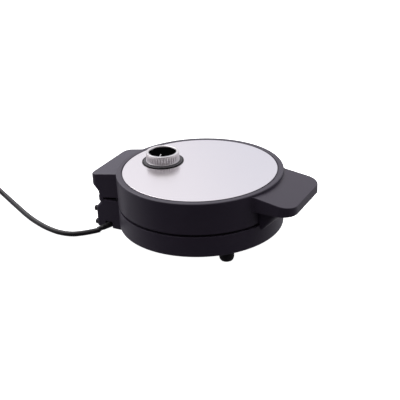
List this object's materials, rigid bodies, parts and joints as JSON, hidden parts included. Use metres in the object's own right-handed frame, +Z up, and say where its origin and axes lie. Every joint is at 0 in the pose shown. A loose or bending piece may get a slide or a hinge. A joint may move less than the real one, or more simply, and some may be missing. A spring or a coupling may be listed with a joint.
{
  "type": "round waffle maker with hinged lid",
  "caption": "Round countertop waffle maker with a hinged steel-topped lid, front handle, thermostat knob, waffle-patterned plates, feet and a mains lead with a plug.",
  "frame": {"origin": "on the standing surface, under the middle of the appliance's length and width; the free lead is left out of that measure", "axes": "+Z is up, the front handle points along -Y, the hinge is at +Y, and the lead leaves on the -X side"},
  "size_m": [0.2198, 0.5462, 0.098],
  "materials": {
    "housing": "fine satin black moulding",
    "foot": "matt black",
    "bumper": "matt grey rubber",
    "fastener": "plain zinc-plated steel",
    "baking_plate": "dark non-stick coating on cast aluminium",
    "element": "dull sheath",
    "reflector": "bright sheet",
    "ceramic": "unglazed ceramic",
    "lead": "smooth matt black sheath",
    "plug": "moulded black",
    "plug_pin": "plated brass",
    "panel": "brushed stainless steel",
    "bezel": "satin dark grey",
    "knob": "bright silver plating",
    "knob_cap": "smooth black"
  },
  "bodies": {
    "base": {"base_housing": "housing", "bottom_cover": "housing", "cover_screw_1": "fastener", "cover_screw_2": "fastener", "cover_screw_3": "fastener", "cover_screw_4": "fastener", "front_foot_left": "foot", "front_foot_right": "foot", "hinge_block_cover": "housing", "rear_foot_left": "foot", "rear_foot_right": "foot", "rear_bumper_upper_left": "bumper", "rear_bumper_upper_right": "bumper", "rear_bumper_lower_left": "bumper", "rear_bumper_lower_right": "bumper", "hinge_pin_left": "fastener", "hinge_pin_right": "fastener", "lower_plate": "baking_plate", "lower_plate_rim": "baking_plate", "lower_element": "element", "lower_reflector": "reflector", "lower_reflector_screw_left": "fastener", "lower_reflector_screw_right": "fastener", "thermal_fuse": "ceramic", "terminal_block": "ceramic", "cord_gland": "housing", "strain_relief": "lead", "power_cord": "lead", "power_cord_coil": "lead", "cord_tie": "housing", "plug_body": "plug", "plug_pin_left": "plug_pin", "plug_pin_right": "plug_pin"},
    "lid": {"lid_housing": "housing", "handle_cover": "housing", "handle_screw_left": "fastener", "handle_screw_right": "fastener", "lid_panel": "panel", "upper_plate": "baking_plate", "upper_plate_rim": "baking_plate", "upper_element": "element", "upper_reflector": "reflector", "upper_reflector_screw_left": "fastener", "upper_reflector_screw_right": "fastener", "dial_bezel": "bezel", "thermostat_bracket": "fastener", "thermostat_body": "ceramic"},
    "knob": {"knob_skirt": "knob", "knob_cap": "knob_cap", "knob_pointer": "knob", "thermostat_shaft": "fastener"}
  },
  "joints": [
    {"name": "lid_hinge", "type": "hinge", "parent": "base", "child": "lid", "pos_m": [0, 0.1263, 0.0415], "axis": [-1, 0, 0], "range_deg": [0, 100]},
    {"name": "thermostat_dial", "type": "hinge", "parent": "lid", "child": "knob", "pos_m": [0.0036, 0.0586, 0.0845], "axis": [0, 0, -1], "range_deg": [0, 270]}
  ]
}
